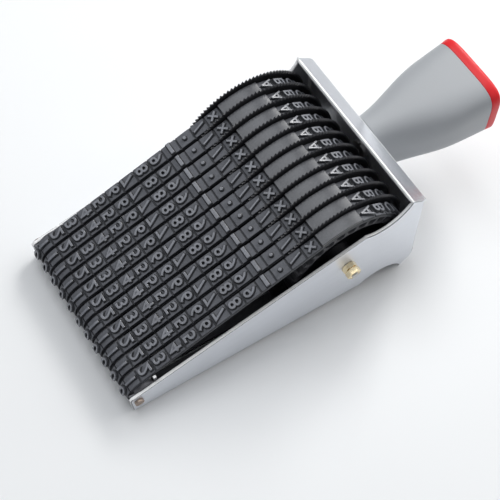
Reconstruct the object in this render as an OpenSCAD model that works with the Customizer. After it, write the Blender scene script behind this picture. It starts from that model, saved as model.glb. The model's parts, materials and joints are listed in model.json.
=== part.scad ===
// Hand-held roller stamp with eleven endless type bands.
// Each band runs from a round nose bar at the front to its own thumbwheel at the back.
// Sizes are in millimetres. The stamp lies on a table: nose at -X, handle at +X, +Z up.
// The drawing frame has X along the metal frame and Z square to it.
// The function rest() then tips it onto the nose bands and the wheel rims.

/* [Bands] */
// distance from one band to the next
band_pitch = 6.75; // [6.4:0.05:7.4]
// side gap between a band and the rims beside it
band_gap = 0.25; // [0.2:0.05:0.35]
// thickness of the belt that carries the pads
belt_t = 1.7; // [1.3:0.1:2]
// height of the type pads above the belt
pad_h = 1.5; // [1.2:0.1:1.8]
// groove between two pads
pad_groove = 0.7; // [0.5:0.1:1]
// length of the long plain pad, counted in type pads
plain_pads = 2.74; // [2:0.02:3.4]

/* [Wheels] */
// radius of the band face round the wheels
face_r = 28.6; // [27:0.1:29.4]
// height of the serrated rim above the band face
rim_h = 2.8; // [2:0.1:3.2]
// thickness of the serrated rim
rim_t = 0.8; // [0.6:0.1:1]
// number of teeth on the serrated rim
rim_teeth = 112; // [84:4:120]
// depth of those teeth
tooth_h = 0.9; // [0.6:0.1:1.2]
// number of pockets round the drum
pockets = 30; // [20:1:34]
// radius of a pocket
pocket_r = 1.9; // [1.5:0.1:2]
// wall of the drum
drum_wall = 3.6; // [3.4:0.1:4.2]

/* [Nose] */
// radius of the band face round the nose
nose_r = 9.6; // [9:0.1:10.2]
// distance from the nose to the axle along the frame
nose_x = 91; // [86:0.5:96]
// height of the nose in the drawing frame
nose_z = 0.5; // [0:0.1:1]
// thickness of the two ears of the nose bar
ear_t = 1.1; // [0.8:0.1:1.1]
// radius of the two nose screws
nose_stud_r = 1.1; // [1:0.05:1.3]
// radius of their slotted heads
nose_head_r = 1.9; // [1.7:0.1:2.4]

/* [Frame] */
// thickness of the bent sheet
sheet_t = 1.4; // [1:0.1:1.6]
// free width beside the outermost bands
side_gap = 1.53; // [1.45:0.01:2]
// height of the axle in the drawing frame
axle_z = 5.5; // [4.5:0.1:6]
// distance from the axle to the back face
back_x = 36.3; // [36:0.1:39]
// height of the middle line of the side plates
frame_z = -1.7; // [-1.8:0.1:-1]
// half height of the side plates at the front
front_h = 6; // [5.4:0.1:6.1]
// half height of the side plates at the kink behind the axle
kink_h = 23.2; // [22:0.1:24]
// half height of the side plates at the back corner
corner_h = 30; // [29:0.1:30.2]
// half height of the flat back face
back_h = 24; // [22:0.1:25]
// radius of the scoop between kink and back corner
scoop_r = 13.8; // [13:0.1:20]
// outer radius of the two upright bends
bend_r = 2.6; // [2:0.1:3.4]

/* [Axle] */
// radius of the axle inside the wheels
axle_r = 2.5; // [2:0.1:3]
// radius of the threaded ends
stud_r = 1.5; // [1.4:0.05:1.6]
// width of a nut across its flats
nut_w = 5.5; // [5:0.1:6]
// thickness of a nut
nut_t = 2.4; // [2:0.1:2.6]
// running clearance of the wheels on the axle
run_gap = 0.05; // [0.03:0.01:0.08]

/* [Handle] */
// length of the handle without its cap
handle_l = 49.7; // [46:0.1:56]
// height of the handle in the drawing frame
handle_z = 7.1; // [5.5:0.1:7.4]
// half width of the handle at the neck
neck_w = 9.4; // [8.5:0.1:11]
// half width of the handle at the cap
grip_w = 19.2; // [17:0.1:21]
// half height of the handle
grip_h = 15.4; // [14:0.1:16]
// squareness of the handle's section: 2 is an ellipse
grip_n = 3; // [2.4:0.1:4]
// share of the length in which the neck swings out
flare_end = 0.67; // [0.55:0.01:0.9]
// share of the flare that is curved, the rest is straight
flare_bend = 0.55; // [0.3:0.05:0.9]
// thickness of the end cap
cap_t = 4.8; // [3.6:0.1:6]
// rounding of the end cap
cap_round = 1.6; // [1:0.1:1.8]
// length of the handle screw inside the handle
handle_screw_l = 15.6; // [12:0.1:18]
// radius of that screw
handle_screw_r = 2; // [1.6:0.1:2.4]
// radius of its slotted head
handle_head_r = 4; // [3.4:0.1:4.6]
// thickness of its head
handle_head_t = 1.9; // [1.6:0.1:2]

/* [Hidden] */
$fn = 96;
count = 11;
pads = 41;
dot_back = 21.5;
rim_r = face_r + rim_h;
belt_in = pad_h + belt_t;
drum_r = face_r - belt_in - 0.3;
bar_r = nose_r - belt_in - 0.05;
band_w = band_pitch - rim_t - 2 * band_gap;
rim_y = band_w / 2 + band_gap;
half_in = (count - 1) / 2 * band_pitch + band_w / 2 + side_gap;
half_out = half_in + sheet_t;
front_x = -nose_x - 8.3;
kink_x = 8;
corner_x = back_x - 7.1;
rise = axle_z - nose_z;
span = sqrt(nose_x * nose_x + rise * rise);
lean = atan2(rise, nose_x);
wrap = asin((face_r - nose_r) / span);
run_l = span * cos(wrap);
tip = asin((rim_r - nose_r) / span) - lean;
arc_w = face_r * (180 + 2 * wrap) * PI / 180;
arc_n = nose_r * (180 - 2 * wrap) * PI / 180;
loop_l = 2 * run_l + arc_w + arc_n;
pad_pitch = loop_l / (pads + plain_pads);
screw_x = -nose_x - 5.2;
end_x = back_x + handle_l + cap_t;
rest_z = nose_r + nose_x * sin(tip) - nose_z * cos(tip);
low_x = -nose_x * cos(tip) - nose_z * sin(tip) - nose_r;
high_x = end_x * cos(tip) + (grip_h - cap_round - handle_z) * sin(tip);
rest_x = -(low_x + high_x) / 2;

// middle of a band across the stamp: band 1 is the far one, band 11 the near one
function band_y(i) = ((count + 1) / 2 - i) * band_pitch;

// point on a loop at distance s along the band face, moved in or out by d
// the loop starts on top of the nose and goes back along the upper run
function wrap_s(s) = s < 0 ? s + loop_l : (s >= loop_l ? s - loop_l : s);
function loop_turn(s) =
    s < run_l ? wrap
    : s < run_l + arc_w ? wrap - (s - run_l) / face_r * 180 / PI
    : s < 2 * run_l + arc_w ? -180 - wrap
    : -180 - wrap - (s - 2 * run_l - arc_w) / nose_r * 180 / PI;
function loop_at(s) =
    s < run_l ? [-span - nose_r * sin(wrap) + s * cos(wrap), nose_r * cos(wrap) + s * sin(wrap)]
    : s < run_l + arc_w ? face_r * [-sin(loop_turn(s)), cos(loop_turn(s))]
    : s < 2 * run_l + arc_w
        ? let (t = s - run_l - arc_w)
            [-face_r * sin(wrap) - t * cos(wrap), -face_r * cos(wrap) + t * sin(wrap)]
    : [-span, 0] + nose_r * [-sin(loop_turn(s)), cos(loop_turn(s))];

// lay the drawing frame on the table
module rest() {
    translate([rest_x, 0, rest_z])
        rotate([0, -tip, 0])
            children();
}

// draw a flat shape in the side view and thicken it from y0 to y1
module across(y0, y1) {
    translate([0, y1, 0])
        rotate([90, 0, 0])
            linear_extrude(y1 - y0)
                children();
}

// outline of a loop at depth d below the band face, with the axle at the middle
// the straight runs lie a hair inside the tangents, so each crosses its arc in a clean edge
module loop_outline(d) {
    big = face_r - d;
    small = nose_r - d;
    big_run = big - 0.02;
    small_run = small - 0.02;
    circle(big);
    translate([-span, 0])
        circle(small);
    polygon([
        [-big_run * sin(wrap), big_run * cos(wrap)],
        [-span - small_run * sin(wrap), small_run * cos(wrap)],
        [-span - small_run * sin(wrap), -small_run * cos(wrap)],
        [-big_run * sin(wrap), -big_run * cos(wrap)]]);
}

// one endless band: a belt with square type pads and one long plain pad
module type_band(i) {
    start = run_l - dot_back + 2.5 * pad_pitch + plain_pads * pad_pitch;
    rest()
        color([0.16, 0.16, 0.18])
            across(band_y(i) - band_w / 2, band_y(i) + band_w / 2)
                translate([0, axle_z])
                    rotate(lean)
                        difference() {
                            loop_outline(0);
                            loop_outline(belt_in);
                            for (k = [0 : pads]) {
                                s = wrap_s(start + k * pad_pitch);
                                translate(loop_at(s))
                                    rotate(loop_turn(s))
                                        translate([-pad_groove / 2, -pad_h])
                                            square([pad_groove, pad_h + 1]);
                            }
                        }
}

// serrated disc that the thumb turns
module serrated_disc() {
    polygon([for (k = [0 : 2 * rim_teeth - 1])
        let (a = 180 * k / rim_teeth, r = k % 2 == 0 ? rim_r : rim_r - tooth_h)
        r * [cos(a), sin(a)]]);
}

// one thumbwheel: serrated disc, drum with a ring of pockets, and a hub on the axle
module thumbwheel(i) {
    y = band_y(i);
    near = y - rim_y + 0.3;
    rest()
        color([0.07, 0.07, 0.08])
            translate([0, 0, axle_z])
                difference() {
                    union() {
                        across(y + rim_y, y + rim_y + rim_t)
                            serrated_disc();
                        across(near, y + rim_y + 0.2)
                            difference() {
                                circle(drum_r);
                                circle(drum_r - drum_wall);
                                for (k = [0 : pockets - 1])
                                    rotate(360 * k / pockets)
                                        translate([drum_r - pocket_r * 0.55, 0])
                                            circle(pocket_r, $fn = 32);
                            }
                        across(y + rim_y - 0.8, y + rim_y + 0.2)
                            circle(drum_r - drum_wall + 0.4);
                        across(y - rim_y + 0.05, y + rim_y + 0.2)
                            circle(axle_r + 2.6);
                    }
                    across(y - band_pitch, y + band_pitch)
                        circle(axle_r + run_gap, $fn = 48);
                }
}

// side view of the frame: tapered plates, a scoop behind the kink and slanted back corners
module side_outline() {
    nip = 0.9;
    chord = [corner_x - kink_x, corner_h - kink_h];
    half = norm(chord) / 2;
    drop = sqrt(scoop_r * scoop_r - half * half) + 0.2;
    mid = [(corner_x + kink_x) / 2, (corner_h + kink_h) / 2];
    hub = mid + drop / (2 * half) * [-chord[1], chord[0]];
    translate([0, frame_z])
        difference() {
            polygon([
                [front_x, nip - front_h], [front_x + nip, -front_h], [kink_x, -kink_h],
                [corner_x, -corner_h], [back_x, -back_h], [back_x, back_h], [corner_x, corner_h],
                [kink_x, kink_h], [front_x + nip, front_h], [front_x, front_h - nip]]);
            for (s = [-1, 1])
                translate([hub[0], s * hub[1]])
                    circle(scoop_r);
        }
}

// plan of the bent sheet: a long U with rounded bends at the back
module sheet_plan(x, y, r) {
    translate([front_x - 1, -y])
        square([x - r - front_x + 1, 2 * y]);
    translate([x - r - 1, -y + r])
        square([r + 1, 2 * (y - r)]);
    for (s = [-1, 1])
        translate([x - r, s * (y - r)])
            circle(r);
}

// section of a slanted flange between a back corner and the back face
module flange_section() {
    d = [back_x - corner_x, back_h - corner_h] / norm([back_x - corner_x, back_h - corner_h]);
    n = [d[1], -d[0]];
    inner = [corner_x, corner_h] + sheet_t * n;
    reach = (back_x - sheet_t - inner[0]) / d[0];
    polygon([
        [corner_x, corner_h], [back_x, back_h], [back_x, back_h - 2], [back_x - sheet_t, back_h - 2],
        [back_x - sheet_t, inner[1] + reach * d[1]], inner]);
}

module frame() {
    rest()
        color([0.8, 0.81, 0.84])
            difference() {
                union() {
                    intersection() {
                        across(-half_out - 1, half_out + 1)
                            side_outline();
                        translate([0, 0, frame_z - corner_h - 1])
                            linear_extrude(2 * corner_h + 2)
                                difference() {
                                    sheet_plan(back_x, half_out, bend_r);
                                    sheet_plan(back_x - sheet_t, half_in, bend_r - sheet_t);
                                }
                    }
                    translate([0, 0, frame_z])
                        for (s = [0, 1])
                            mirror([0, 0, s])
                                across(-half_in - sheet_t / 2, half_in + sheet_t / 2)
                                    flange_section();
                }
                translate([0, 0, axle_z])
                    across(-half_out - 1, half_out + 1)
                        circle(stud_r + 0.1, $fn = 48);
                translate([screw_x, 0, nose_z])
                    across(-half_out - 1, half_out + 1)
                        circle(nose_stud_r + 0.1, $fn = 48);
                translate([back_x - 5, 0, handle_z])
                    rotate([0, 90, 0])
                        cylinder(h = 10, r = handle_screw_r + 0.1, $fn = 48);
            }
}

// round bar that the bands turn on, with an ear at each end inside the side plates
module nose_bar() {
    rest()
        color([0.62, 0.63, 0.66])
            difference() {
                union() {
                    across(-half_in + 0.02, half_in - 0.02)
                        intersection() {
                            translate([-nose_x, nose_z])
                                circle(bar_r);
                            translate([-nose_x - bar_r - 1, -bar_r - 5])
                                square([bar_r + 4, 2 * bar_r + 10]);
                        }
                    for (s = [-1, 1])
                        translate([0, s * (half_in - 0.02 - ear_t / 2), 0])
                            across(-ear_t / 2, ear_t / 2)
                                ear_outline();
                }
                for (s = [-1, 1])
                    translate([screw_x, s * (half_in - 0.02 - ear_t / 2), nose_z])
                        across(-ear_t / 2 - 0.01, ear_t / 2 + 0.01)
                            circle(nose_stud_r + 0.05, $fn = 48);
            }
}

// ear of the nose bar with a small stop at its back corner
module ear_outline() {
    ear_l = 12.4;
    ear_h = front_h - 0.5;
    translate([front_x + 0.6, frame_z - ear_h])
        square([ear_l, 2 * ear_h]);
    translate([front_x + 0.6 + ear_l - 1.3, frame_z])
        square([1.3, front_h + 4.6]);
}

// screw through a side plate into an ear of the nose bar; side is -1 near, 1 far
module nose_screw(side) {
    grip_l = sheet_t + ear_t;
    rest()
        color([0.72, 0.68, 0.62])
            translate([screw_x, side * (half_out + 0.02), nose_z])
                rotate([side * -90, 0, 0])
                    difference() {
                        union() {
                            cylinder(h = 1.3, r = nose_head_r, $fn = 48);
                            translate([0, 0, -grip_l])
                                cylinder(h = grip_l + 0.5, r = nose_stud_r, $fn = 48);
                        }
                        translate([-nose_head_r - 1, -0.3, 0.7])
                            cube([2 * nose_head_r + 2, 0.6, 2]);
                    }
}

// axle with a shoulder at each end and thinner threaded ends
module axle() {
    rest()
        color([0.7, 0.71, 0.73])
            translate([0, 0, axle_z]) {
                across(-half_in + 0.02, half_in - 0.02)
                    circle(axle_r, $fn = 48);
                across(-half_out - 2 * nut_t - 0.5, half_out + 2 * nut_t + 0.5)
                    circle(stud_r, $fn = 48);
            }
}

// washer that takes up the room between the near wheel and the near plate
module axle_washer() {
    rest()
        color([0.72, 0.73, 0.75])
            translate([0, 0, axle_z])
                across(-half_in + 0.03, -half_in + 0.03 + side_gap - 0.35)
                    difference() {
                        circle(axle_r + 2.4);
                        circle(axle_r + run_gap, $fn = 48);
                    }
}

// brass nut on a threaded end; rank 0 sits on the plate, rank 1 locks it
module axle_nut(side, rank) {
    y = side * (half_out + (rank + 0.5) * nut_t + 0.02 * (rank + 1));
    rest()
        color([0.78, 0.62, 0.3])
            translate([0, y, axle_z])
                across(-nut_t / 2, nut_t / 2)
                    difference() {
                        rotate(4 * rank)
                            circle(nut_w / sqrt(3), $fn = 6);
                        circle(stud_r + 0.04, $fn = 48);
                    }
}

// one ring of the handle: a soft rectangle with half sizes w and h
function ring(x, w, h, n, m) =
    [for (k = [0 : m - 1])
        let (c = cos(360 * k / m), s = sin(360 * k / m))
        [x, w * sign(c) * pow(abs(c), 2 / n), h * sign(s) * pow(abs(s), 2 / n)]];

// skin a row of rings into one closed solid
module skin(rings) {
    m = len(rings[0]);
    last = len(rings) - 1;
    polyhedron(
        points = [for (r = rings) each r],
        faces = concat(
            [[for (k = [m - 1 : -1 : 0]) k]],
            [for (j = [0 : last - 1], k = [0 : m - 1])
                [j * m + k, j * m + (k + 1) % m, (j + 1) * m + (k + 1) % m, (j + 1) * m + k]],
            [[for (k = [0 : m - 1]) last * m + k]]),
        convexity = 4);
}

// half width of the handle at a share t of its length: a straight flare with a soft swing in it
function flare(t) = (1 - flare_bend) * t + flare_bend * (1 - cos(180 * min(1, t / flare_end))) / 2;
function grip_at(t) = neck_w + (grip_w - neck_w) * flare(t);

module handle() {
    steps = 18;
    total = handle_l + cap_t;
    rest()
        translate([0, 0, handle_z])
            color([0.72, 0.74, 0.77])
                difference() {
                    skin([for (j = [0 : steps])
                        let (x = 0.02 + j / steps * (handle_l - 0.02))
                        ring(back_x + x, grip_at(x / total), grip_h, grip_n, 56)]);
                    translate([back_x - 1, 0, 0])
                        rotate([0, 90, 0])
                            cylinder(h = handle_screw_l + 2, r = handle_screw_r + 0.05, $fn = 48);
                }
}

module handle_cap() {
    x = back_x + handle_l + 0.02;
    seam = grip_at(handle_l / (handle_l + cap_t));
    q = cap_round;
    rest()
        translate([0, 0, handle_z])
            color([0.84, 0.13, 0.15])
                skin(concat(
                    [ring(x, seam, grip_h, grip_n, 56)],
                    [for (a = [0 : 18 : 90])
                        let (in = q * (1 - cos(a)))
                        ring(x + cap_t - 0.02 - q + q * sin(a), grip_w - in, grip_h - in, grip_n, 56)]));
}

// screw from inside the back face into the handle
module handle_screw() {
    rest()
        color([0.72, 0.73, 0.75])
            translate([back_x - sheet_t - 0.02, 0, handle_z])
                rotate([0, 90, 0])
                    difference() {
                        union() {
                            translate([0, 0, -handle_head_t])
                                cylinder(h = handle_head_t, r = handle_head_r, $fn = 48);
                            translate([0, 0, -handle_head_t / 2])
                                cylinder(h = handle_head_t / 2 + sheet_t + handle_screw_l, r = handle_screw_r, $fn = 48);
                        }
                        translate([-handle_head_r - 1, -handle_head_r / 8, -handle_head_t - 1])
                            cube([2 * handle_head_r + 2, handle_head_r / 4, 1 + handle_head_t / 2]);
                    }
}

frame();
handle();
handle_cap();
handle_screw();
nose_bar();
nose_screw(-1);  // nose_screw_near
nose_screw(1);  // nose_screw_far
axle();
axle_washer();
axle_nut(-1, 0);  // axle_nut_near
axle_nut(-1, 1);  // axle_locknut_near
axle_nut(1, 0);  // axle_nut_far
axle_nut(1, 1);  // axle_locknut_far
thumbwheel(1);  // thumbwheel_01
thumbwheel(2);  // thumbwheel_02
thumbwheel(3);  // thumbwheel_03
thumbwheel(4);  // thumbwheel_04
thumbwheel(5);  // thumbwheel_05
thumbwheel(6);  // thumbwheel_06
thumbwheel(7);  // thumbwheel_07
thumbwheel(8);  // thumbwheel_08
thumbwheel(9);  // thumbwheel_09
thumbwheel(10);  // thumbwheel_10
thumbwheel(11);  // thumbwheel_11
type_band(1);  // type_band_01
type_band(2);  // type_band_02
type_band(3);  // type_band_03
type_band(4);  // type_band_04
type_band(5);  // type_band_05
type_band(6);  // type_band_06
type_band(7);  // type_band_07
type_band(8);  // type_band_08
type_band(9);  // type_band_09
type_band(10);  // type_band_10
type_band(11);  // type_band_11
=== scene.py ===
"""Looks of a hand-held roller stamp with endless type bands.

The construction model is the fixed frame, and gives the places and sizes that the pieces share with it.
Each operator dresses one piece or one group of like pieces, and the last one sets the stage.
"""

import json
import math

import bmesh
import bpy
from bpy.props import FloatProperty, FloatVectorProperty, PointerProperty
from mathutils import Matrix, Vector

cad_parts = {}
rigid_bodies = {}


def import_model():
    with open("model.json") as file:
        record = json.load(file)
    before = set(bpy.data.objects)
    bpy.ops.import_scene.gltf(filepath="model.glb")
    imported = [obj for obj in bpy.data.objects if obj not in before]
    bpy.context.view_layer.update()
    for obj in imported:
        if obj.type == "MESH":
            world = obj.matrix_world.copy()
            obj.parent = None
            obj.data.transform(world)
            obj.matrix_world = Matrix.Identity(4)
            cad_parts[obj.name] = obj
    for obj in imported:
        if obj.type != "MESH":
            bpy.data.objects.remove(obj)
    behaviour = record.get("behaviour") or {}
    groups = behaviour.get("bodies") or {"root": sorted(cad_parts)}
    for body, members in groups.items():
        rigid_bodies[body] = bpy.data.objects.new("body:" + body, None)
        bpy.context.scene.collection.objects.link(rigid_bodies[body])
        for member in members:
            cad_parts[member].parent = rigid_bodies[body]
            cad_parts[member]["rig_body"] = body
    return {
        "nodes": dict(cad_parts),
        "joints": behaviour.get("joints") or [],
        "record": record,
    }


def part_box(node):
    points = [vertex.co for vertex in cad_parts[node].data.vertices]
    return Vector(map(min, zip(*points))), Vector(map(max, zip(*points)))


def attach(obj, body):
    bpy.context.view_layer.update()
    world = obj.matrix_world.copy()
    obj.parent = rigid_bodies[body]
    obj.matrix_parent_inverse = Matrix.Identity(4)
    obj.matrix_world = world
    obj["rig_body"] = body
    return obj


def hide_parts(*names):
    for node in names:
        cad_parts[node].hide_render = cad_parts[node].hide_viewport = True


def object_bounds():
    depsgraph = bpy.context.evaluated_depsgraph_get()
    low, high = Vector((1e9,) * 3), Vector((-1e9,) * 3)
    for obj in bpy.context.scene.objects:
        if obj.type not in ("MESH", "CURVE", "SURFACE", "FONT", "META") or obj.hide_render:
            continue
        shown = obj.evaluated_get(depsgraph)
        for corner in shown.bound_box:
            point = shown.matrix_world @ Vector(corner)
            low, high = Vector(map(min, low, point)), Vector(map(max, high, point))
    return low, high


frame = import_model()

bl_info = {
    "name": "Roller stamp",
    "version": (1, 0, 0),
    "blender": (4, 5, 0),
    "location": "View3D > Sidebar > Stamp",
    "description": "Dresses the pieces of a roller stamp with type bands",
    "category": "Object",
}

MM = 0.001
CAD_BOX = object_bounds()
AXLE = Vector(frame["joints"][0]["pos_m"])
END_FACE = next(m for m in frame["record"]["mounts"] if m["name"] == "end_cap_face")
END_NORMAL = Vector(END_FACE["axis"])
TILT = math.atan2(END_NORMAL.z, END_NORMAL.x)
# X along the handle, zero on the flat end of its cap
HANDLE_FRAME = Matrix.Translation(END_FACE["pos_m"]) @ Matrix.Rotation(-TILT, 4, "Y")
BANDS = sorted(name for name in frame["nodes"] if name.startswith("type_band"))
WHEELS = sorted(name for name in frame["nodes"] if name.startswith("thumbwheel"))
NUTS = sorted(name for name in frame["nodes"] if "nut" in name)
# characters round a band: letters, one blank pad, figures and signs
TYPE = [*"ABCDEFGHIJKLMNOPQRSTUVWXYZ", "", *"0123456789", "-", ".", "/", "×"]
# signs with a size of their own, across and along the band in millimetres
SIGNS = {"-": (4.9, 1.5), ".": (1.5, 1.5), "×": (3.7, 3.9)}
# how far each band has crept along its loop, from the far band to the near one
CREEP = (0.0, 0.25, 0.1, -0.25, 0.05, -0.6, -0.35, 0.1, 0.25, 0.5, 0.05)
# pads from the middle of the dot to the start of the plain pad
PADS_PAST_DOT = 2.5
# where a character is cut across, so that it bends with its band
TYPE_CUTS = (-1.6 * MM, 0.0, 1.6 * MM)
# how far a character reaches into its pad, and a pad into the belt
TYPE_SINK = 0.3 * MM
PAD_SINK = 0.2 * MM
# cuts along the belt, and length between the cuts of a pad
BELT_CUTS = 340
PAD_CUT = 1.5 * MM
# rounding of pads, of type faces and of the small turned and cut pieces
PAD_EDGE = 0.22 * MM
TYPE_EDGE = 0.11 * MM
SMALL_EDGE = 0.15 * MM
# vertices nearer than this are one, in a piece and in the outline of a character
MERGE = 0.0005 * MM
TYPE_MERGE = 0.02 * MM
# how far a vertex may lie from the plane or the circle that it belongs to
SLACK = 0.05 * MM
# painted light and shade of the rubber, from 0 in its dark corners to 1: type faces painted light, pads,
# plain pad, belt and feet painted darker as shade
BELT_PAINTED_LIGHT = 0.25
PAD_PAINTED_LIGHT = 0.5
PLAIN_PAINTED_LIGHT = 0.34
SHADOW_FOOT_PAINTED_LIGHT = 0.05
TYPE_PAINTED_LIGHT = 0.85
# depth of a moulding's face and of its shoulder, below which its flank is painted darker as shade
FACE = 0.03 * MM
SHOULDER = 0.4 * MM
# radii between which the thumb wears the teeth and their tips get a painted sheen, and between which the drum
# ends
TIP_WEAR_AND_SHEEN_RADII = (29.4 * MM, 31.2 * MM)
DRUM_RADII = (25.0 * MM, 25.6 * MM)
# faces of the sheet: greatest width of a cut edge, painted white as a highlight, and of the line beside it,
# painted dark as shade, least area of a wide face
CUT_WIDTH = 1.2 * MM
SHADE_LINE_WIDTH = 0.4 * MM
WIDE_FACE = 30 * MM * MM
# share of dull plating on the plates and the inside, and on the flanges
PLATE_SATIN = 0.5
FLANGE_SATIN = 0.05
# height of the stops on the ears of the nose bar, painted white as a highlight
STOP_HEIGHT = 1.6 * MM
# depth of the thread on the axle, and the play of a nut on it
THREAD_DEPTH = 0.3 * MM
NUT_PLAY = 0.04 * MM
# share of a nut's flats that its round face takes, and the chamfer of its bore
NUT_FACE = 0.95
NUT_LIP = 0.35 * MM
# how far the nuts happen to be turned, in degrees
NUT_TURN = 30.0
LOCKNUT_TURN = 34.0
# steps round a nut and round the handle
NUT_STEPS = 48
HANDLE_STEPS = 96
# squareness of the handle at its neck, where 2 is an ellipse, and what it gains towards the cap
NECK_SQUARE = 2.5
CAP_SQUARE = 2.4
# share by which the handle is slimmer at its cap
CAP_SLIMMING = 0.03
# how far the edges of grip and cap are drawn in
TRIM = 0.15 * MM
# from the middle of the floor to its sides, in metres
FLOOR_REACH = 3.0
# lamps: place and size in metres, power in watts, tint
LAMPS = (
    ("back_window", (0.62, 0.05, 0.58), 0.8, 4.0, (1.0, 0.99, 0.97)),
    ("high_window", (-0.12, 0.32, 0.87), 0.6, 3.2, (0.96, 0.98, 1.0)),
    ("far_lamp", (0.54, 0.36, 0.62), 0.24, 2.6, (1.0, 0.99, 0.97)),
    ("far_card", (0.79, 0.47, 0.16), 0.36, 0.08, (1.0, 1.0, 1.0)),
    ("front_window", (-0.62, 0.25, 0.62), 0.4, 0.7, (0.97, 0.98, 1.0)),
    ("near_window", (-0.15, -0.6, 0.7), 0.8, 0.7, (0.97, 0.98, 1.0)),
)


def length(name, description, millimetres):
    """A length whose default is given in millimetres."""
    return FloatProperty(
        name=name, description=description, default=millimetres * MM, subtype="DISTANCE", unit="LENGTH"
    )


def number(name, description, default, unit="NONE"):
    """A number, with a unit if it has one."""
    return FloatProperty(name=name, description=description, default=default, unit=unit)


def point(name, description, metres):
    """A place in space."""
    return FloatVectorProperty(
        name=name, description=description, default=metres, subtype="XYZ", unit="LENGTH"
    )


def colour(name, description, rgb):
    """A linear colour."""
    return FloatVectorProperty(name=name, description=description, default=rgb, size=3, subtype="COLOR")


class StampSizes(bpy.types.PropertyGroup):
    """Sizes of the dressed pieces."""

    nose_radius: length("Nose radius", "Radius of the band face round the nose", 9.6)
    belt: length("Belt", "Thickness of the belt under the pads", 1.3)
    pad_height: length("Pad height", "From the belt to the tops of the characters", 1.9)
    relief: length("Relief", "Height of the characters above their pads", 1.2)
    groove: length("Groove", "Width of the groove between two pads", 0.55)
    dot_back: length("Dot", "From the dot to the place where the bands meet the wheels", 21.5)
    plain_pads: number("Plain pad", "Length of the plain pad in pads", 2.74)
    plain_drop: length("Plain drop", "How far the plain pad lies below the tops of the characters", 0.12)
    type_height: length("Type height", "Height of the capitals", 5.0)
    type_width: length("Type width", "Greatest width of a character", 4.5)
    stroke: length("Stroke", "Growth of the strokes of a character on each side", 0.03)
    # the shadow foot: a dark sheet under each character, painted shadow that darkens its outline and fills
    # its counters
    shadow_foot: length("Foot", "Height of the dark foot of a character", 0.25)
    shadow_foot_growth: length("Foot growth", "Growth of that foot beyond the strokes", 0.4)
    sheet: length("Sheet", "Thickness of the bent sheet", 1.4)
    cut_edge: length("Cut edge", "Rounding of the cut edges of the sheet", 0.4)
    tooth_edge: length("Tooth edge", "Rounding of the moulded teeth", 0.1)
    tooth_depth: length("Tooth depth", "Depth of the teeth of the thumbwheels", 0.9)
    notch: length("Notch", "How far the moulded notches are cut below those teeth", 0.7)
    nut_flats: length("Nut", "Width of a nut across its flats", 5.5)
    stud_radius: length("Stud", "Radius of the threaded ends of the axle", 1.5)
    thread_pitch: length("Thread pitch", "Pitch of the thread on the axle ends", 0.5)
    handle_length: length("Handle", "Length of the handle with its cap", 54.5)
    neck_width: length("Neck", "Half width of the grip at its neck", 9.4)
    grip_width: length("Grip width", "Half width of the grip at its cap", 19.2)
    grip_height: length("Grip height", "Half height of the grip", 15.4)
    flare_end: number("Flare end", "Share of the length where the swing ends", 0.67)
    flare_bend: number("Flare bend", "Share of the flare that is curved", 0.55)
    cap_thickness: length("Cap", "Thickness of the end cap", 4.8)
    cap_rounding: length("Cap rounding", "Rounding of the outer edge of the end cap", 1.6)


class StampColours(bpy.types.PropertyGroup):
    """Colours of the finishes."""

    rubber: colour("Rubber", "Rubber of the type bands", (0.095, 0.099, 0.112))
    wheel: colour("Wheels", "Moulded plastic of the thumbwheels", (0.013, 0.013, 0.015))
    sheet: colour("Sheet", "Plated sheet of the frame", (0.82, 0.845, 0.895))
    steel: colour("Steel", "Turned steel of axle, washer and handle screw", (0.60, 0.59, 0.58))
    screw: colour("Screws", "Browned steel of the nose screws", (0.40, 0.32, 0.27))
    # painted shade: the bar is near-black so that it stays dark between the bands
    bar: colour("Bar", "Blackened steel of the nose bar", (0.14, 0.14, 0.15))
    brass: colour("Brass", "Brass of the nuts", (0.84, 0.71, 0.46))
    grip: colour("Grip", "Plastic of the grip", (0.355, 0.37, 0.39))
    cap: colour("Cap", "Plastic of the end cap", (0.72, 0.022, 0.028))
    floor: colour("Floor", "Floor under the stamp", (0.86, 0.87, 0.88))


class StampStage(bpy.types.PropertyGroup):
    """Camera and light."""

    camera: point("Camera", "Place of the camera", (-0.18219, -0.16563, 0.39473))
    aim: point("Aim", "Point that the camera looks at", (-0.02671, -0.01471, 0.0314))
    roll: number("Roll", "Turn of the camera about its view", math.radians(14.46), "ROTATION")
    lens: number("Lens", "Focal length of the lens", 78.15, "CAMERA")
    sensor: number("Sensor", "Width of the sensor", 36.0, "CAMERA")
    sky: colour("Sky", "Colour of the light from all round", (0.93, 0.96, 1.0))
    sky_strength: number("Sky strength", "Strength of the light from all round", 0.22)


class Value:
    """A shader socket that takes part in Python expressions."""

    def __init__(self, finish, socket):
        self.finish = finish
        self.socket = socket

    def math(self, operation, first, second):
        """A Math node on two values."""
        return self.finish.add("ShaderNodeMath", {"operation": operation}, {0: first, 1: second})

    def __add__(self, other):
        return self.math("ADD", self, other)

    def __radd__(self, other):
        return self.math("ADD", other, self)

    def __sub__(self, other):
        return self.math("SUBTRACT", self, other)

    def __rsub__(self, other):
        return self.math("SUBTRACT", other, self)

    def __mul__(self, other):
        return self.math("MULTIPLY", self, other)

    def __rmul__(self, other):
        return self.math("MULTIPLY", other, self)


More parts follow.
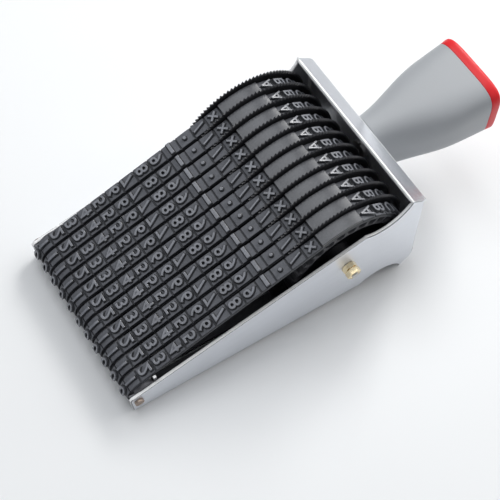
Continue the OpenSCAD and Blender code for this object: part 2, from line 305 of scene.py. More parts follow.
class Finish:
    """A procedural material: one shader and the nodes that feed it."""

    def __init__(self, name, constants):
        self.material = bpy.data.materials.new(name)
        self.material.use_nodes = True
        self.tree = self.material.node_tree
        self.shader = self.tree.nodes["Principled BSDF"]
        for socket, value in constants.items():
            self.shader.inputs[socket].default_value = value
        self.place = self.add("ShaderNodeTexCoord", {}, {}, "Object")

    def add(self, kind, settings, inputs, output=0):
        """Make a node, set it up, feed its sockets and return one of its outputs."""
        node = self.tree.nodes.new(kind)
        for name, value in settings.items():
            setattr(node, name, value)
        for name, value in inputs.items():
            self.feed(node.inputs[name], value)
        return Value(self, node.outputs[output])

    def feed(self, socket, value):
        """Link a socket to a value, or set it."""
        if isinstance(value, Value):
            self.tree.links.new(value.socket, socket)
        else:
            socket.default_value = value

    def surface(self, inputs):
        """Feed the shader."""
        for name, value in inputs.items():
            self.feed(self.shader.inputs[name], value)
        return self.material

    def noise(self, scale, detail=3.0, stretch=(1.0, 1.0, 1.0), turn=(0.0, 0.0, 0.0)):
        """Cloudy noise with a scale per metre, drawn out along some axes."""
        turned = self.add("ShaderNodeMapping", {}, {"Vector": self.place, "Rotation": turn})
        spot = self.add("ShaderNodeMapping", {}, {"Vector": turned, "Scale": stretch})
        return self.add("ShaderNodeTexNoise", {}, {"Vector": spot, "Scale": scale, "Detail": detail})

    def step(self, value, low, high):
        """Smooth step of a value from 0 at low to 1 at high."""
        return self.add(
            "ShaderNodeMapRange",
            {"interpolation_type": "SMOOTHSTEP"},
            {"Value": value, "From Min": low, "From Max": high},
        )

    def mix(self, first, second, share):
        """Blend two colours."""
        return self.add("ShaderNodeMix", {"data_type": "RGBA"}, {0: share, 6: first, 7: second}, 2)

    def bump(self, height, strength, distance):
        """Normal of a surface with fine relief."""
        return self.add("ShaderNodeBump", {}, {"Height": height, "Strength": strength, "Distance": distance})

    def attribute(self, name):
        """A number that the mesh of the piece carries."""
        return self.add("ShaderNodeAttribute", {"attribute_name": name}, {}, "Fac")

    def radius_about_axle(self):
        """Distance of a point from the middle line of the axle, in metres."""
        offset = self.add("ShaderNodeVectorMath", {"operation": "SUBTRACT"}, {0: self.place, 1: AXLE})
        flat = self.add("ShaderNodeVectorMath", {"operation": "MULTIPLY"}, {0: offset, 1: (1.0, 0.0, 1.0)})
        return self.add("ShaderNodeVectorMath", {"operation": "LENGTH"}, {0: flat}, "Value")


def shade(rgb, factor):
    """A colour made darker or lighter, as four channels."""
    return (*[min(1.0, channel * factor) for channel in rgb], 1.0)


def rubber_finish(colours):
    """Moulded rubber: dark feet and flanks and darker pads as painted shade, type faces painted lighter, dull
    pads, smooth type faces, dust in the clouds.
    """
    finish = Finish("band_rubber", {"Specular IOR Level": 0.3, "Coat Roughness": 0.22})
    painted_light = finish.attribute("painted_light")
    gloss = finish.attribute("gloss")
    clouds = finish.noise(120.0, 4.0)
    flecks = finish.noise(1500.0, 3.0)
    grain = finish.noise(5200.0, 2.0)
    # painted light and shade from the mesh: light type faces, darker pads and belt, dark flanks and feet
    light = painted_light * 0.86 + painted_light * (clouds + flecks - 1.0) * 0.7
    tint = finish.mix(shade(colours.rubber, 0.18), shade(colours.rubber, 2.5), light)
    return finish.surface(
        {
            "Base Color": tint,
            "Roughness": 0.46 + clouds * 0.16 - gloss * 0.1,
            "Coat Weight": gloss * 0.5,
            "Normal": finish.bump(grain + flecks, 0.25, 0.05 * MM),
        }
    )


def wheel_finish(colours):
    """Black moulded plastic with dusty teeth, their tips lighter from thumb wear and from painted sheen."""
    finish = Finish("wheel_plastic", {"Specular IOR Level": 0.3})
    radius = finish.radius_about_axle()
    tip_wear_and_sheen = finish.step(radius, *TIP_WEAR_AND_SHEEN_RADII)
    clouds = finish.noise(260.0, 4.0)
    grain = finish.noise(3600.0, 3.0)
    drum = 1.0 - finish.step(radius, *DRUM_RADII)
    # lighter tooth tips: thumb wear, and painted sheen standing in for highlights on the tips
    wear_and_sheen = tip_wear_and_sheen * clouds * 0.9 + drum * 0.5 + grain * 0.1
    tint = finish.mix(shade(colours.wheel, 0.7), shade(colours.wheel, 5.0), wear_and_sheen)
    return finish.surface(
        {
            "Base Color": tint,
            "Roughness": 0.36 + clouds * 0.2,
            "Normal": finish.bump(grain, 0.2, 0.03 * MM),
        }
    )


def sheet_finish(colours):
    """Plated sheet: rolling streaks and smudges, satin plates, cut edges painted white as a highlight with a
    painted dark line beside them, and a dull inside painted darker as shade.
    """
    finish = Finish("frame_sheet", {})
    inner, satin, edge, line = (finish.attribute(name) for name in ("inner", "satin", "edge", "line"))
    streaks = finish.noise(900.0, 3.0, (0.03, 1.0, 1.0), (0.0, TILT, 0.0))
    scratches = finish.noise(4200.0, 2.0, (0.012, 1.0, 1.0), (0.0, TILT + 0.3, 0.0))
    smudges = finish.noise(45.0, 4.0)
    fine = finish.step(scratches, 0.62, 0.74)
    bright = finish.mix(shade(colours.sheet, 0.94), shade(colours.sheet, 1.04), streaks * 0.6 + smudges * 0.4)
    # painted shade: the inside of the frame is painted darker
    inside_shaded = finish.mix(bright, shade(colours.sheet, 0.8), inner)
    # painted shade: a dark line beside the cut edges
    shade_lined = finish.mix(inside_shaded, shade(colours.sheet, 0.08), line)
    # painted highlight: the cut edges are painted near white
    highlight_white = (0.97, 0.97, 0.97, 1.0)
    return finish.surface(
        {
            "Base Color": finish.mix(shade_lined, highlight_white, edge),
            "Metallic": 1.0 - satin - edge * 0.95,
            "Roughness": 0.16 + satin * 0.2 + streaks * 0.06 + smudges * 0.08 + fine * 0.06,
        }
    )


def steel_finish(name, rgb):
    """Turned steel with tool marks across the stamp."""
    finish = Finish(name, {"Metallic": 1.0})
    marks = finish.noise(2600.0, 2.0, (0.15, 1.0, 0.15))
    stain = finish.noise(220.0, 4.0)
    tint = finish.mix(shade(rgb, 0.75), shade(rgb, 1.1), marks * 0.5 + stain * 0.5)
    return finish.surface(
        {
            "Base Color": tint,
            "Roughness": 0.24 + marks * 0.1 + stain * 0.14,
            "Normal": finish.bump(marks, 0.1, 0.03 * MM),
        }
    )


def bar_finish(colours):
    """Near-black steel of the nose bar, kept dark as painted shade between the bands, rubbed where the bands
    run, with its stops painted white as a highlight.
    """
    finish = Finish("shaded_bar_steel", {})
    stop_glint = finish.attribute("stop_glint")
    rubbed = finish.noise(900.0, 3.0, (1.0, 0.2, 1.0))
    stain = finish.noise(160.0, 4.0)
    # painted shade: the near-black bar keeps the gaps between the bands dark
    tint = finish.mix(shade(colours.bar, 0.7), shade(colours.bar, 1.5), rubbed * 0.6 + stain * 0.4)
    highlight_white = (0.95, 0.95, 0.95, 1.0)
    return finish.surface(
        {
            # painted highlight: the stops on the ears are painted near white
            "Base Color": finish.mix(tint, highlight_white, stop_glint),
            "Metallic": 1.0 - stop_glint * 0.9,
            "Roughness": 0.34 + stain * 0.2,
            "Normal": finish.bump(rubbed, 0.1, 0.03 * MM),
        }
    )


def brass_finish(colours):
    """Machined brass, a little tarnished."""
    finish = Finish("nut_brass", {"Metallic": 1.0})
    tarnish = finish.noise(420.0, 5.0)
    marks = finish.noise(4000.0, 2.0, (0.2, 1.0, 0.2))
    browning = (0.72, 0.6, 0.45)
    deep = (*[channel * loss for channel, loss in zip(colours.brass, browning)], 1.0)
    tint = finish.mix(shade(colours.brass, 1.08), deep, finish.step(tarnish, 0.45, 0.8))
    return finish.surface(
        {
            "Base Color": tint,
            "Roughness": 0.08 + marks * 0.08 + tarnish * 0.12,
            "Normal": finish.bump(marks, 0.08, 0.02 * MM),
        }
    )


def grip_finish(colours):
    """Silver-grey moulded plastic with a fine matt texture."""
    finish = Finish("grip_plastic", {"Specular IOR Level": 0.5})
    clouds = finish.noise(60.0, 4.0)
    flakes = finish.noise(6500.0, 1.0)
    pebble = finish.noise(2300.0, 2.0)
    tint = finish.mix(shade(colours.grip, 0.93), shade(colours.grip, 1.07), clouds * 0.5 + flakes * 0.5)
    return finish.surface(
        {
            "Base Color": tint,
            "Roughness": 0.36 + clouds * 0.1 + flakes * 0.06,
            "Normal": finish.bump(pebble, 0.12, 0.04 * MM),
        }
    )


def cap_finish(colours):
    """Glossy red moulded plastic."""
    finish = Finish("cap_plastic", {"Coat Roughness": 0.12, "Specular IOR Level": 0.22})
    clouds = finish.noise(90.0, 4.0)
    waves = finish.noise(700.0, 2.0)
    tint = finish.mix(shade(colours.cap, 0.9), shade(colours.cap, 1.08), clouds)
    return finish.surface(
        {
            "Base Color": tint,
            "Roughness": 0.34 + clouds * 0.12,
            "Coat Weight": clouds * 0.25,
            "Normal": finish.bump(waves, 0.05, 0.05 * MM),
        }
    )


def floor_finish(colours):
    """Pale matt board."""
    finish = Finish("floor_board", {"Specular IOR Level": 0.2})
    clouds = finish.noise(14.0, 3.0)
    tint = finish.mix(shade(colours.floor, 0.99), shade(colours.floor, 1.01), clouds)
    return finish.surface({"Base Color": tint, "Roughness": 0.7 + clouds * 0.1})


def show(bm, node, finish, name, hard_angle=35.0):
    """Show a mesh in the place of a construction node, riding on that node's body."""
    mesh = bpy.data.meshes.new(name)
    bm.to_mesh(mesh)
    bm.free()
    mesh.materials.append(finish)
    mesh.shade_smooth()
    mesh.set_sharp_from_angle(angle=math.radians(hard_angle))
    piece = bpy.data.objects.new(name, mesh)
    bpy.context.scene.collection.objects.link(piece)
    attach(piece, frame["nodes"][node]["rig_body"])
    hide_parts(node)
    return piece


def solid_copy(node):
    """A merged copy of a construction node's mesh, with its flat faces whole again."""
    bm = bmesh.new()
    bm.from_mesh(frame["nodes"][node].data)
    bmesh.ops.remove_doubles(bm, verts=bm.verts, dist=MERGE)
    bmesh.ops.dissolve_limit(bm, angle_limit=math.radians(0.2), verts=bm.verts, edges=bm.edges)
    return bm


def round_edges(bm, width, segments=2, angle=30.0, shortest=0.0):
    """Round the edges of a solid that turn by more than an angle, apart from the shortest ones."""
    sharp = [e for e in bm.edges if e.is_manifold and e.calc_face_angle() > math.radians(angle)]
    sharp = [e for e in sharp if e.calc_length() > shortest]
    # a clamped rounding stops at the shortest edge, also at one that is left out
    bmesh.ops.bevel(
        bm,
        geom=sharp,
        offset=width,
        offset_type="OFFSET",
        affect="EDGES",
        segments=segments,
        profile=0.5,
        material=-1,
        clamp_overlap=not shortest,
    )


def dress(node, finish, name, edge=SMALL_EDGE):
    """Show a construction node with its edges rounded."""
    bm = solid_copy(node)
    round_edges(bm, edge)
    show(bm, node, finish, name)


def ring_edges(ring):
    """Edges that join two vertices of a ring, in their order."""
    members = set(ring)
    return list(dict.fromkeys(e for v in ring for e in v.link_edges if members.issuperset(e.verts)))


def loops_to_skin(bm, rings, closed=False):
    """Bridge a row of rings, each a list of vertices, into one skin."""
    pairs = list(zip(rings, rings[1:]))
    if closed:
        pairs.append((rings[-1], rings[0]))
    for first, second in pairs:
        bmesh.ops.bridge_loops(bm, edges=ring_edges(first) + ring_edges(second))


class BandPath:
    """Path of the band face: upper run, wheel, lower run and nose, in the side view."""

    def __init__(self, sizes):
        low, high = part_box(BANDS[0])
        self.wheel = Vector((AXLE.x, AXLE.z))
        self.wheel_r = high.x - AXLE.x
        self.nose_r = sizes.nose_radius
        self.nose = Vector((low.x + self.nose_r, low.z + self.nose_r))
        between = self.wheel - self.nose
        self.pitch = math.atan2(between.y, between.x)
        self.wrap = math.asin((self.wheel_r - self.nose_r) / between.length)
        self.run = between.length * math.cos(self.wrap)
        self.wheel_end = self.run + self.wheel_r * (math.pi + 2 * self.wrap)
        self.lower_end = self.wheel_end + self.run
        self.length = self.lower_end + self.nose_r * (math.pi - 2 * self.wrap)

    def place(self, spot):
        """Bend a point of the flat band (along, across, height) round the loop."""
        s = spot.x % self.length
        if s < self.run:
            turn, ahead = self.wrap, s
            centre, radius = self.nose, self.nose_r
        elif s < self.wheel_end:
            turn, ahead = self.wrap - (s - self.run) / self.wheel_r, 0.0
            centre, radius = self.wheel, self.wheel_r
        elif s < self.lower_end:
            turn, ahead = -math.pi - self.wrap, s - self.wheel_end
            centre, radius = self.wheel, self.wheel_r
        else:
            turn, ahead = -math.pi - self.wrap - (s - self.lower_end) / self.nose_r, 0.0
            centre, radius = self.nose, self.nose_r
        along = Vector((math.cos(self.pitch + turn), math.sin(self.pitch + turn)))
        out = Vector((-along.y, along.x))
        bent = centre + out * (radius + spot.z) + along * ahead
        return Vector((bent.x, spot.y, bent.y))


def flat_block(size, top, segments):
    """A flat block, finely cut along X, with its upper face at a height."""
    bm = bmesh.new()
    stretch = Matrix.Diagonal((size.x, size.y, 1.0, 1.0))
    below = Matrix.Translation((0, 0, top - size.z))
    bmesh.ops.create_grid(bm, x_segments=segments, y_segments=1, size=0.5, matrix=below @ stretch)
    raised = bmesh.ops.extrude_face_region(bm, geom=bm.faces[:])["geom"]
    lifted = [v for v in raised if isinstance(v, bmesh.types.BMVert)]
    bmesh.ops.translate(bm, vec=(0, 0, size.z), verts=lifted)
    bmesh.ops.recalc_face_normals(bm, faces=bm.faces)
    return bm


def pad_mesh(sizes, pad_length, width, top):
    """A type pad on the flat band, rounded along its upper edges."""
    under = -sizes.pad_height - PAD_SINK
    cuts = max(4, round(pad_length / PAD_CUT))
    bm = flat_block(Vector((pad_length, width, top - under)), top, cuts)
    upper = [e for e in bm.edges if all(v.co.z > top - FACE for v in e.verts)]
    upper = [e for e in upper if e.calc_face_angle() > 1.0]
    bmesh.ops.bevel(
        bm,
        geom=upper,
        offset=PAD_EDGE,
        offset_type="OFFSET",
        affect="EDGES",
        segments=2,
        profile=0.5,
        material=-1,
        clamp_overlap=True,
    )
    mesh = bpy.data.meshes.new("pad")
    bm.to_mesh(mesh)
    bm.free()
    return mesh


def set_type(letter):
    """A character of the type as a text object."""
    curve = bpy.data.curves.new("character", "FONT")
    curve.body = letter
    holder = bpy.data.objects.new("character", curve)
    bpy.context.scene.collection.objects.link(holder)
    return holder


def clear_type(holder):
    """Take a text object away again."""
    curve = holder.data
    bpy.data.objects.remove(holder)
    bpy.data.curves.remove(curve)


def capital_height():
    """Height of a capital of the type at size one."""
    holder = set_type("H")
    bpy.context.view_layer.update()
    height = holder.dimensions.y
    clear_type(holder)
    return height


def character_mesh(letter, scale, sizes, growth, top):
    """A raised character, mirrored for printing, with its strokes grown and its top at a height."""
    holder = set_type(letter)
    curve = holder.data
    curve.resolution_u = 3
    curve.bevel_depth = TYPE_EDGE / scale
    curve.bevel_resolution = 0
    curve.offset = growth / scale
    curve.extrude = (top + sizes.relief + TYPE_SINK) / (2 * scale) - curve.bevel_depth
    bpy.context.view_layer.update()
    mesh = bpy.data.meshes.new_from_object(holder.evaluated_get(bpy.context.evaluated_depsgraph_get()))
    clear_type(holder)
    bm = bmesh.new()
    bm.from_mesh(mesh)
    bmesh.ops.remove_doubles(bm, verts=bm.verts, dist=TYPE_MERGE / scale)
    corners = [v.co for v in bm.verts]
    low = Vector(min(c[k] for c in corners) for k in range(3))
    high = Vector(max(c[k] for c in corners) for k in range(3))
    across, along = scale * min(1.0, sizes.type_width / ((high.x - low.x) * scale)), scale
    if letter in SIGNS:
        across, along = ((size * MM + 2 * growth) / (high - low)[k] for k, size in enumerate(SIGNS[letter]))
    centre = Vector(((low.x + high.x) / 2, (low.y + high.y) / 2, high.z - top / scale))
    # letters run across the band, with their heads towards the nose, and are mirrored
    turn = Matrix(((0, -1, 0, 0), (-1, 0, 0, 0), (0, 0, 1, 0), (0, 0, 0, 1)))
    size = Matrix.Diagonal((across, along, scale, 1.0))
    bmesh.ops.transform(bm, matrix=turn @ size @ Matrix.Translation(-centre), verts=bm.verts)
    for cut in TYPE_CUTS:
        everything = [*bm.verts, *bm.edges, *bm.faces]
        bmesh.ops.bisect_plane(bm, geom=everything, plane_co=(cut, 0, 0), plane_no=(1, 0, 0))
    bmesh.ops.recalc_face_normals(bm, faces=bm.faces)
    bm.to_mesh(mesh)
    bm.free()
    return mesh


def depth_shade(depth):
    """Share of its painted light that a moulding keeps at a depth below its face, so that its flanks are
    painted darker as shade.
    """
    if depth < FACE:
        return 1.0
    return 0.4 if depth < SHOULDER else 0.1


def lay(bm, mesh, along, layers, painted_light, gloss=0.0):
    """Add a mesh to the flat band at a distance along it, with painted light for its face that turns to
    painted shade down its flanks, and a gloss for its face.
    """
    before = len(bm.verts)
    bm.from_mesh(mesh)
    bm.verts.ensure_lookup_table()
    fresh = bm.verts[before:]
    bmesh.ops.translate(bm, vec=(along, 0, 0), verts=fresh)
    top = max(vertex.co.z for vertex in fresh)
    light_layer, glosses = layers
    for vertex in fresh:
        depth = top - vertex.co.z
        vertex[light_layer] = painted_light * depth_shade(depth)
        vertex[glosses] = gloss if depth < SHOULDER else 0.0


def flat_band(sizes, path, width):
    """The whole band laid flat: belt, pads, characters and the long plain pad."""
    pitch = path.length / (len(TYPE) + sizes.plain_pads)
    plain_end = path.run - sizes.dot_back + (PADS_PAST_DOT + sizes.plain_pads) * pitch
    belt = Vector((path.length, width, sizes.belt))
    bm = flat_block(belt, -sizes.pad_height, BELT_CUTS)
    ends = [f for f in bm.faces if abs(f.normal.x) > 0.9]
    bmesh.ops.delete(bm, geom=ends, context="FACES_ONLY")
    bmesh.ops.translate(bm, vec=(path.length / 2, 0, 0), verts=bm.verts)
    # this layer carries the painted light and shade; the belt is painted dark as shade
    bm.verts.layers.float.new("painted_light")
    bm.verts.layers.float.new("gloss")
    layers = bm.verts.layers.float["painted_light"], bm.verts.layers.float["gloss"]
    for vertex in bm.verts:
        vertex[layers[0]] = BELT_PAINTED_LIGHT
    pad = pad_mesh(sizes, pitch - sizes.groove, width, -sizes.relief)
    plain = pad_mesh(sizes, sizes.plain_pads * pitch - sizes.groove, width, -sizes.plain_drop)
    scale = sizes.type_height / capital_height()
    for index, letter in enumerate(TYPE):
        middle = plain_end + (index + 0.5) * pitch
        lay(bm, pad, middle, layers, PAD_PAINTED_LIGHT)
        if letter:
            # painted shadow: a dark sheet under the character that darkens its outline and fills its counters
            shadow_foot = character_mesh(letter, scale, sizes, sizes.shadow_foot_growth, sizes.shadow_foot - sizes.relief)
            lay(bm, shadow_foot, middle, layers, SHADOW_FOOT_PAINTED_LIGHT)
            face = character_mesh(letter, scale, sizes, sizes.stroke, 0.0)
            lay(bm, face, middle, layers, TYPE_PAINTED_LIGHT, 1.0)
    lay(bm, plain, plain_end - sizes.plain_pads * pitch / 2, layers, PLAIN_PAINTED_LIGHT, 1.0)
    mesh = bpy.data.meshes.new("flat_band")
    bm.to_mesh(mesh)
    bm.free()
    return mesh


def mark_sheet(bm):
    """Mark the inside, painted darker as shade, the satin outside, the cut edges, painted white as a
    highlight, and the dark lines beside them, painted shade.
    """
    layers = {name: bm.faces.layers.float.new(name) for name in ("inner", "satin", "edge", "line")}
    upright = Vector((-END_NORMAL.z, 0, END_NORMAL.x))
    # what a face belongs to is told by its width and by the cosines of its tilt
    for face in bm.faces:
        middle = face.calc_center_median()
        facing = face.normal.dot((AXLE - middle).normalized())
        outward = face.normal.y * math.copysign(1.0, middle.y)
        width = 2 * face.calc_area() / face.calc_perimeter()
        bend = abs(face.normal.dot(upright)) < 0.1 and face.normal.dot(END_NORMAL) > -0.01
        cut = width < CUT_WIDTH and not bend and abs(outward) < 0.99
        # painted shade on the line beside a cut edge, painted highlight on the cut edge itself
        line = cut and width < SHADE_LINE_WIDTH and outward > 0.5
        # painted shade: the inside is painted darker
        inner = not cut and facing > 0.3
        outer = not cut and facing < 0
        satin = PLATE_SATIN if inner or outward > 0.9 else FLANGE_SATIN
        face[layers["line"]] = float(line)
        face[layers["edge"]] = float(cut and not line)
        face[layers["inner"]] = float(inner)
        face[layers["satin"]] = satin if inner or outer else 0.0


def unfold(bm):
    """Cut the outside of the plates into triangles and turn the slivers that the rounding folded over."""
    reach = max(abs(v.co.y) for v in bm.verts) - SLACK
    outside = [face for face in bm.faces if all(abs(v.co.y) > reach for v in face.verts)]
    for face in bmesh.ops.triangulate(bm, faces=outside)["faces"]:
        if face.normal.y * face.calc_center_median().y < 0:
            face.normal_flip()


def flatten(mesh):
    """Shade all but the bends and the rounded edges flat, so that a plate mirrors as one face."""
    for face in mesh.polygons:
        face.use_smooth = face.area < WIDE_FACE and abs(face.normal.y) < 0.999


class STAMP_OT_frame(bpy.types.Operator):
    """Dress the bent sheet of the frame"""

    bl_idname = "stamp.frame"
    bl_label = "Frame"

    def execute(self, context):
        bm = solid_copy("frame")
        # the tiny edges where two bends meet stay as they are
        round_edges(bm, context.scene.stamp_sizes.cut_edge, segments=3, angle=25.0, shortest=0.6 * MM)
        mark_sheet(bm)
        unfold(bm)
        piece = show(bm, "frame", sheet_finish(context.scene.stamp_colours), "sheet_frame")
        flatten(piece.data)
        return {"FINISHED"}


class STAMP_OT_bands(bpy.types.Operator):
    """Make the rubber bands with their pads and characters"""

    bl_idname = "stamp.bands"
    bl_label = "Type bands"

    def execute(self, context):
        sizes = context.scene.stamp_sizes
        path = BandPath(sizes)
        low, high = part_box(BANDS[0])
        flat = flat_band(sizes, path, high.y - low.y)
        finish = rubber_finish(context.scene.stamp_colours)
        for node, creep in zip(BANDS, CREEP):
            low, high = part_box(node)
            bm = bmesh.new()
            bm.from_mesh(flat)
            for vertex in bm.verts:
                vertex.co = path.place(vertex.co + Vector((creep * MM, (low.y + high.y) / 2, 0)))
            bmesh.ops.remove_doubles(bm, verts=bm.verts, dist=MERGE)
            show(bm, node, finish, node.replace("type_band", "rubber_band"), hard_angle=20.0)
        return {"FINISHED"}


def cut_notches(bm, node, sizes):
    """Push the roots of a thumbwheel's teeth inwards."""
    low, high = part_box(node)
    root = (high.x - low.x) / 2 - sizes.tooth_depth
    for vertex in bm.verts:
        spoke = Vector((vertex.co.x - AXLE.x, 0, vertex.co.z - AXLE.z))
        if abs(spoke.length - root) < SLACK:
            vertex.co -= spoke.normalized() * sizes.notch


class STAMP_OT_wheels(bpy.types.Operator):
    """Dress the thumbwheels"""

    bl_idname = "stamp.wheels"
    bl_label = "Thumbwheels"

    def execute(self, context):
        sizes = context.scene.stamp_sizes
        finish = wheel_finish(context.scene.stamp_colours)
        for node in WHEELS:
            bm = solid_copy(node)
            cut_notches(bm, node, sizes)
            round_edges(bm, sizes.tooth_edge, segments=1, angle=40.0)
            show(bm, node, finish, node.replace("thumbwheel", "thumb_disc"))
        return {"FINISHED"}


def mark_stops(bm, node):
    """Mark the stops that stand up from the ears of the nose bar, which are painted white as a highlight."""
    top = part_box(node)[1].z - STOP_HEIGHT
    stop_glint = bm.faces.layers.float.new("stop_glint")
    for face in bm.faces:
        face[stop_glint] = float(face.calc_center_median().z > top)


class STAMP_OT_nose(bpy.types.Operator):
    """Dress the nose bar and its screws"""

    bl_idname = "stamp.nose"
    bl_label = "Nose bar"

    def execute(self, context):
        colours = context.scene.stamp_colours
        bm = solid_copy("nose_bar")
        round_edges(bm, SMALL_EDGE)
        mark_stops(bm, "nose_bar")
        show(bm, "nose_bar", bar_finish(colours), "nose_rod")
        finish = steel_finish("browned_steel", colours.screw)
        for side in ("near", "far"):
            dress(f"nose_screw_{side}", finish, f"slot_screw_{side}")
        return {"FINISHED"}


def lathe(bm, profile, steps=48):
    """Turn a row of (place along Y, radius) points about the axle."""
    spots = [bm.verts.new((AXLE.x, y, AXLE.z + radius)) for y, radius in profile]
    edges = [bm.edges.new(pair) for pair in zip(spots, spots[1:])]
    bmesh.ops.spin(
        bm,
        geom=[*spots, *edges],
        cent=AXLE,
        axis=(0, 1, 0),
        angle=math.tau,
        steps=steps,
        use_merge=True,
    )


def stud_profile(sizes, end, shoulder, rod_radius):
    """Points (place along Y, radius) of a threaded end of the axle, from its tip to its shoulder."""
    crest, root, pitch = sizes.stud_radius, sizes.stud_radius - THREAD_DEPTH, sizes.thread_pitch
    tip, chamfer = end - THREAD_DEPTH, 0.2 * MM
    points = [(end, 0.0), (end, root), (tip, crest)]
    for turn in range(int((end - shoulder - 2 * THREAD_DEPTH) / pitch)):
        for part, radius in ((0.25, crest), (0.5, root), (1.0, crest)):
            points.append((tip - (turn + part) * pitch, radius))
    return [*points, (shoulder, crest), (shoulder, rod_radius - chamfer), (shoulder - chamfer, rod_radius)]


class STAMP_OT_axle(bpy.types.Operator):
    """Turn the axle with its threaded ends and dress its washer"""

    bl_idname = "stamp.axle"
    bl_label = "Axle"

    def execute(self, context):
        sizes = context.scene.stamp_sizes
        finish = steel_finish("turned_steel", context.scene.stamp_colours.steel)
        low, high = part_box("axle")
        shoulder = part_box("frame")[1].y - sizes.sheet
        end = stud_profile(sizes, high.y, shoulder, (high.z - low.z) / 2)
        bm = bmesh.new()
        lathe(bm, end + [(-y, radius) for y, radius in reversed(end)])
        bmesh.ops.remove_doubles(bm, verts=bm.verts, dist=MERGE)
        bmesh.ops.recalc_face_normals(bm, faces=bm.faces)
        show(bm, "axle", finish, "wheel_axle")
        dress("axle_washer", finish, "wheel_washer")
        return {"FINISHED"}


def round_ring(bm, radius, height):
    """A round ring of a nut at a height along its bore."""
    verts = bmesh.ops.create_circle(bm, segments=NUT_STEPS, radius=1.0)["verts"]
    for vertex in verts:
        vertex.co = Vector((radius * vertex.co.x, height, radius * vertex.co.y))
    return verts


def hexagon_ring(bm, flats, face, height):
    """The rim of a nut at one end, falling away from the round face towards its six corners."""
    slope = math.copysign(math.tan(math.radians(30)), height)
    verts = bmesh.ops.create_circle(bm, segments=NUT_STEPS, radius=1.0)["verts"]
    for vertex in verts:
        angle = math.atan2(vertex.co.y, vertex.co.x)
        sector = (angle + math.pi / 6) % (math.pi / 3) - math.pi / 6
        reach = flats / 2 / math.cos(sector)
        drop = (reach - face) * slope
        vertex.co = Vector((reach * math.cos(angle), height - drop, reach * math.sin(angle)))
    return verts


def nut_mesh(sizes, thickness):
    """A chamfered hexagon nut, its middle at the origin and its bore along Y."""
    half, face = thickness / 2, sizes.nut_flats / 2 * NUT_FACE
    bore = sizes.stud_radius + NUT_PLAY
    bm = bmesh.new()
    rings = [
        round_ring(bm, bore + NUT_LIP, half),
        round_ring(bm, face, half),
        hexagon_ring(bm, sizes.nut_flats, face, half),
        hexagon_ring(bm, sizes.nut_flats, face, -half),
        round_ring(bm, face, -half),
        round_ring(bm, bore + NUT_LIP, -half),
        round_ring(bm, bore, NUT_LIP - half),
        round_ring(bm, bore, half - NUT_LIP),
    ]
    loops_to_skin(bm, rings, closed=True)
    bmesh.ops.recalc_face_normals(bm, faces=bm.faces)
    return bm


class STAMP_OT_nuts(bpy.types.Operator):
    """Make the brass nuts on the axle ends"""

    bl_idname = "stamp.nuts"
    bl_label = "Nuts"

    def execute(self, context):
        sizes = context.scene.stamp_sizes
        finish = brass_finish(context.scene.stamp_colours)
        for node in NUTS:
            low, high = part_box(node)
            turn = math.radians(LOCKNUT_TURN if "lock" in node else NUT_TURN)
            bm = nut_mesh(sizes, high.y - low.y)
            spot = Matrix.Translation((AXLE.x, (low.y + high.y) / 2, AXLE.z))
            turned = Matrix.Rotation(-TILT - turn, 4, "Y")
            bmesh.ops.transform(bm, matrix=spot @ turned, verts=bm.verts)
            show(bm, node, finish, node.replace("axle", "brass"))
        return {"FINISHED"}


def soft_ring(bm, x, half_width, half_height, power):
    """A ring of the handle at a place along it: a rectangle with soft corners."""
    verts = bmesh.ops.create_circle(bm, segments=HANDLE_STEPS, radius=1.0)["verts"]
    for vertex in verts:
        c, s = vertex.co.x, vertex.co.y
        across = math.copysign(abs(c) ** (2 / power), c)
        up = math.copysign(abs(s) ** (2 / power), s)
        vertex.co = Vector((x, half_width * across, half_height * up))
    return verts


def grip_section(sizes, share):
    """Half width, half height and squareness of the handle at a share of its length from the neck."""
    swing = (1 - math.cos(math.pi * min(1.0, share / sizes.flare_end))) / 2
    flare = (1 - sizes.flare_bend) * share + sizes.flare_bend * swing
    width = sizes.neck_width + (sizes.grip_width - sizes.neck_width) * flare
    square = share * share
    slim = 1 - CAP_SLIMMING * square
    return width * slim, sizes.grip_height * slim, NECK_SQUARE + CAP_SQUARE * square


def handle_skin(bm, rings):
    """Skin a row of rings along the handle, close both ends and set it in its place."""
    loops_to_skin(bm, rings)
    for ring in (rings[0], rings[-1]):
        bmesh.ops.edgeloop_fill(bm, edges=ring_edges(ring))
    bmesh.ops.recalc_face_normals(bm, faces=bm.faces)
    bmesh.ops.transform(bm, matrix=HANDLE_FRAME, verts=bm.verts)


def grip_mesh(sizes, steps=30):
    """The grip, lofted from its neck to the seam of the cap, with both edges drawn in."""
    neck, seam = -sizes.handle_length, -sizes.cap_thickness
    bm = bmesh.new()
    width, height, power = grip_section(sizes, 0.0)
    rings = [soft_ring(bm, neck + 0.02 * MM, width - 2 * TRIM, height - 2 * TRIM, power)]
    start, end = neck + 0.4 * MM, seam - 0.2 * MM
    for step in range(steps + 1):
        x = start + (end - start) * step / steps
        rings.append(soft_ring(bm, x, *grip_section(sizes, 1 + x / sizes.handle_length)))
    width, height, power = grip_section(sizes, 1 + seam / sizes.handle_length)
    rings.append(soft_ring(bm, seam - 0.05 * MM, width - TRIM, height - TRIM, power))
    handle_skin(bm, rings)
    return bm


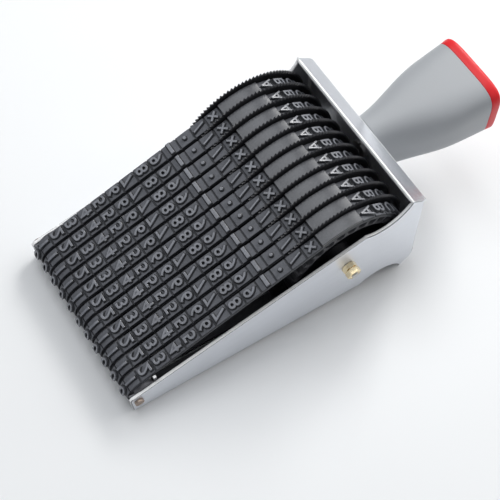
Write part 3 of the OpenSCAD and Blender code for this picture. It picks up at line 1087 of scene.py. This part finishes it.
def cap_mesh(sizes, steps=8):
    """The end cap, drawn in at its seam and rounded at its end."""
    seam, radius = -sizes.cap_thickness, sizes.cap_rounding
    bm = bmesh.new()
    width, height, power = grip_section(sizes, 1 + seam / sizes.handle_length)
    rings = []
    # places past the seam, and how far the cap is drawn in there
    for past, inset in ((0.0, 2 * TRIM), (0.05 * MM, 0.7 * TRIM), (0.25 * MM, 0.0)):
        rings.append(soft_ring(bm, seam + past, width - inset, height - inset, power))
    width, height, power = grip_section(sizes, 1.0)
    for step in range(steps + 1):
        angle = math.pi / 2 * step / steps
        inset = radius * (1 - math.cos(angle))
        rings.append(soft_ring(bm, radius * (math.sin(angle) - 1), width - inset, height - inset, power))
    handle_skin(bm, rings)
    return bm


class STAMP_OT_handle(bpy.types.Operator):
    """Loft the grip and its end cap, and dress the screw that holds them"""

    bl_idname = "stamp.handle"
    bl_label = "Handle"

    def execute(self, context):
        sizes = context.scene.stamp_sizes
        colours = context.scene.stamp_colours
        show(grip_mesh(sizes), "handle", grip_finish(colours), "grip")
        show(cap_mesh(sizes), "handle_cap", cap_finish(colours), "grip_cap")
        dress("handle_screw", steel_finish("screw_steel", colours.steel), "grip_screw", edge=0.2 * MM)
        return {"FINISHED"}


def soft_light(name, place, aim, size, power, tint):
    """A square lamp that looks at a point."""
    lamp = bpy.data.lights.new(name, "AREA")
    lamp.shape = "SQUARE"
    lamp.size = size
    lamp.energy = power
    lamp.color = tint
    holder = bpy.data.objects.new(name, lamp)
    holder.location = place
    holder.rotation_euler = (Vector(aim) - Vector(place)).to_track_quat("-Z", "Y").to_euler()
    bpy.context.scene.collection.objects.link(holder)


def lay_floor(colours):
    """A wide flat floor under the stamp."""
    bm = bmesh.new()
    bmesh.ops.create_grid(bm, x_segments=1, y_segments=1, size=FLOOR_REACH)
    mesh = bpy.data.meshes.new("floor")
    bm.to_mesh(mesh)
    bm.free()
    mesh.materials.append(floor_finish(colours))
    floor = bpy.data.objects.new("floor", mesh)
    bpy.context.scene.collection.objects.link(floor)


def studio_sky(stage):
    """Faint even light from all round."""
    world = bpy.data.worlds.new("studio")
    world.use_nodes = True
    sky = world.node_tree.nodes["Background"]
    sky.inputs["Color"].default_value = shade(stage.sky, 1.0)
    sky.inputs["Strength"].default_value = stage.sky_strength
    return world


def studio_camera(stage):
    """The camera, aimed at its point and rolled about its view."""
    camera = bpy.data.cameras.new("camera")
    camera.lens = stage.lens
    camera.sensor_width = stage.sensor
    camera.sensor_fit = "HORIZONTAL"
    camera.clip_start = 0.01
    holder = bpy.data.objects.new("camera", camera)
    holder.location = stage.camera
    level = (Vector(stage.aim) - Vector(stage.camera)).to_track_quat("-Z", "Y").to_matrix()
    holder.rotation_euler = (level @ Matrix.Rotation(stage.roll, 3, "Z")).to_euler()
    bpy.context.scene.collection.objects.link(holder)
    return holder


class STAMP_OT_stage(bpy.types.Operator):
    """Set the floor, the lamps and the camera"""

    bl_idname = "stamp.stage"
    bl_label = "Stage"

    def execute(self, context):
        scene = context.scene
        lay_floor(scene.stamp_colours)
        scene.world = studio_sky(scene.stamp_stage)
        centre = (CAD_BOX[0] + CAD_BOX[1]) / 2
        for name, place, size, power, tint in LAMPS:
            soft_light(name, place, centre, size, power, tint)
        scene.camera = studio_camera(scene.stamp_stage)
        scene.view_settings.view_transform = "Standard"
        return {"FINISHED"}


STEPS = (
    STAMP_OT_frame,
    STAMP_OT_bands,
    STAMP_OT_wheels,
    STAMP_OT_nose,
    STAMP_OT_axle,
    STAMP_OT_nuts,
    STAMP_OT_handle,
    STAMP_OT_stage,
)


class STAMP_PT_panel(bpy.types.Panel):
    """List of the steps that dress the stamp"""

    bl_idname = "STAMP_PT_panel"
    bl_label = "Roller stamp"
    bl_space_type = "VIEW_3D"
    bl_region_type = "UI"
    bl_category = "Stamp"

    def draw(self, context):
        for step in STEPS:
            self.layout.operator(step.bl_idname)


CLASSES = (StampSizes, StampColours, StampStage, *STEPS, STAMP_PT_panel)


def register():
    """Register the classes and hang the settings on the scene."""
    for cls in CLASSES:
        bpy.utils.register_class(cls)
    bpy.types.Scene.stamp_sizes = PointerProperty(type=StampSizes)
    bpy.types.Scene.stamp_colours = PointerProperty(type=StampColours)
    bpy.types.Scene.stamp_stage = PointerProperty(type=StampStage)


def unregister():
    """Take everything back."""
    del bpy.types.Scene.stamp_stage
    del bpy.types.Scene.stamp_colours
    del bpy.types.Scene.stamp_sizes
    for cls in reversed(CLASSES):
        bpy.utils.unregister_class(cls)


def main():
    """Dress the stamp and set the stage."""
    register()
    bpy.ops.stamp.frame()
    bpy.ops.stamp.bands()
    bpy.ops.stamp.wheels()
    bpy.ops.stamp.nose()
    bpy.ops.stamp.axle()
    bpy.ops.stamp.nuts()
    bpy.ops.stamp.handle()
    bpy.ops.stamp.stage()


if __name__ == "__main__":
    main()
